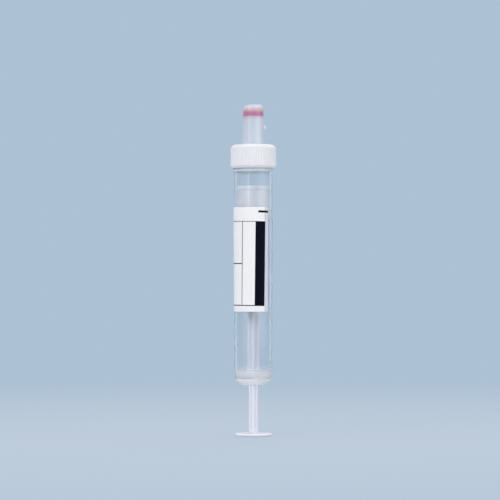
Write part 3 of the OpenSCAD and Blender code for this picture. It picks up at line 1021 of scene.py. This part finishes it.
class TUBE_OT_stage(bpy.types.Operator):
    """Plain pale floor and background, soft studio lights and the camera"""

    bl_idname = "tube.stage"
    bl_label = "Stage"

    def execute(self, context):
        s, scene = context.scene.tube_stage, context.scene
        self.floor(s)
        self.surroundings(s)
        self.lamps(s)
        data = bpy.data.cameras.new("camera")
        data.lens_unit = "FOV"
        data.angle = s.view
        data.clip_start, data.clip_end = 0.01, 20
        scene.camera = added("camera", data)
        scene.camera.location = (-s.aside, -s.distance, s.eye)
        scene.camera.rotation_euler = (math.pi / 2 + math.atan2(s.aim - s.eye, s.distance), 0, 0)
        scene.view_settings.view_transform = "Standard"
        return {"FINISHED"}

    def floor(self, s):
        """A flat disc of points (r cos a, r sin a, 0). It keeps the tube's shadow, and shows more and more of
        the plain background colour from the radius near to the radius far."""
        f = Finish("floor")
        near, far, least = 0.05, 0.6, 0.55
        x, y, _ = f.add("SeparateXYZ", [f.place]).outputs
        away = f.math("SQRT", f.math("ADD", f.times(x, x), f.times(y, y)))
        plain = f.times(f.ramp(away, near, far, least, 1), f.background_rays())
        f.set(Base_Color=(0.58, 0.65, 0.72, 1), Roughness=f.ramp(f.noise(60, 3), 0.3, 0.7, 0.85, 0.95))
        glow = f.add("Emission", {"Color": (*s.ground, 1)})
        both = f.add("MixShader", [plain, f.shader.outputs[0], glow.outputs[0]])
        f.put(f.surface, both.outputs[0])

        columns = 96
        a = np.arange(columns) * TURN / columns
        r = np.array([near, 0.2, far, 1.2, s.floor])[:, None]
        points = np.stack([r * np.cos(a), r * np.sin(a), 0 * r * a], -1).reshape(-1, 3)
        i, j = np.meshgrid(np.arange(len(r) - 1) * columns, np.arange(columns), indexing="ij")
        i2, j2 = i + columns, (j + 1) % columns
        quads = np.stack([i + j, i2 + j, i2 + j2, i + j2], -1).reshape(-1, 4)
        mesh = bpy.data.meshes.new("floor")
        mesh.from_pydata(points, [], quads.tolist() + [list(range(columns))])
        mesh.materials.append(f.material)
        added("floor", mesh)

    def surroundings(self, s):
        """Soft light from all round, and the plain background colour where the camera sees past the floor."""
        world = bpy.data.worlds.new("world")
        bpy.context.scene.world = world
        world.use_nodes = True
        w = Nodes(world.node_tree)
        light = w.tree.nodes["Background"]
        w.put(light.inputs["Color"], (1.0, 0.965, 0.96, 1))
        w.put(light.inputs["Strength"], s.around)
        shown = w.add("Background", {"Color": (*s.ground, 1)})
        both = w.add("MixShader", [w.background_rays(), light.outputs[0], shown.outputs[0]])
        w.put(w.tree.nodes["World Output"].inputs["Surface"], both.outputs[0])

    def lamps(self, s):
        """Rectangular soft lights that face the middle of the tube."""
        middle = Vector((0, 0, 0.07))
        for name, power, place, width, height in (
            ("key_light", s.key, (-0.45, -0.80, 0.80), 0.8, 0.8),
            ("front_strip", s.strip, (-0.5, -0.87, 0.30), 0.25, 0.6),
            ("fill_light", s.fill, (1.0, -0.62, 0.35), 1.2, 1.2),
            ("top_light", s.top, (0.05, 0.1, 1.17), 0.9, 0.9),
            ("back_light", s.back, (0.3, 0.8, 0.85), 0.7, 0.7),
            ("left_panel", s.rim, (-0.6, 0.54, 0.1), 0.4, 0.6),
            ("right_panel", s.rim, (0.6, 0.54, 0.1), 0.4, 0.6),
        ):
            data = bpy.data.lights.new(name, "AREA")
            data.shape, data.size, data.size_y = "RECTANGLE", width, height
            data.energy, data.color = power, (1.0, 0.985, 0.98)
            ob = added(name, data)
            ob.location = place
            ob.rotation_euler = (Vector(place) - middle).to_track_quat("Z", "Y").to_euler()
            ob.visible_camera = False


# ------------------------------ add-on


class TUBE_PT_panel(bpy.types.Panel):
    """Buttons and settings for each group of pieces"""

    bl_idname = "TUBE_PT_panel"
    bl_label = "Blood Collection Tube"
    bl_space_type = "VIEW_3D"
    bl_region_type = "UI"
    bl_category = "Tube"

    def draw(self, context):
        for op in OPERATORS:
            self.layout.operator(op.bl_idname)
        for key in SETTINGS:
            box = self.layout.box()
            box.label(text=key.removeprefix("tube_").capitalize())
            group = getattr(context.scene, key)
            for prop in group.bl_rna.properties:
                if prop.identifier not in ("rna_type", "name"):
                    box.prop(group, prop.identifier)


OPERATORS = (
    TUBE_OT_barrel,
    TUBE_OT_label,
    TUBE_OT_cap,
    TUBE_OT_nozzle,
    TUBE_OT_piston,
    TUBE_OT_rod,
    TUBE_OT_stage,
)
SETTINGS = {
    "tube_barrel": BarrelSettings,
    "tube_thread": ThreadSettings,
    "tube_cap": CapSettings,
    "tube_nozzle": NozzleSettings,
    "tube_piston": PistonSettings,
    "tube_rod": RodSettings,
    "tube_label": LabelSettings,
    "tube_stage": StageSettings,
}


def register():
    for cls in (*SETTINGS.values(), *OPERATORS, TUBE_PT_panel):
        bpy.utils.register_class(cls)
    for key, group in SETTINGS.items():
        setattr(bpy.types.Scene, key, bpy.props.PointerProperty(type=group))


def unregister():
    for key in SETTINGS:
        delattr(bpy.types.Scene, key)
    for cls in reversed((*SETTINGS.values(), *OPERATORS, TUBE_PT_panel)):
        bpy.utils.unregister_class(cls)


def main():
    register()
    for op in OPERATORS:
        group, name = op.bl_idname.split(".")
        getattr(getattr(bpy.ops, group), name)()


if __name__ == "__main__":
    main()
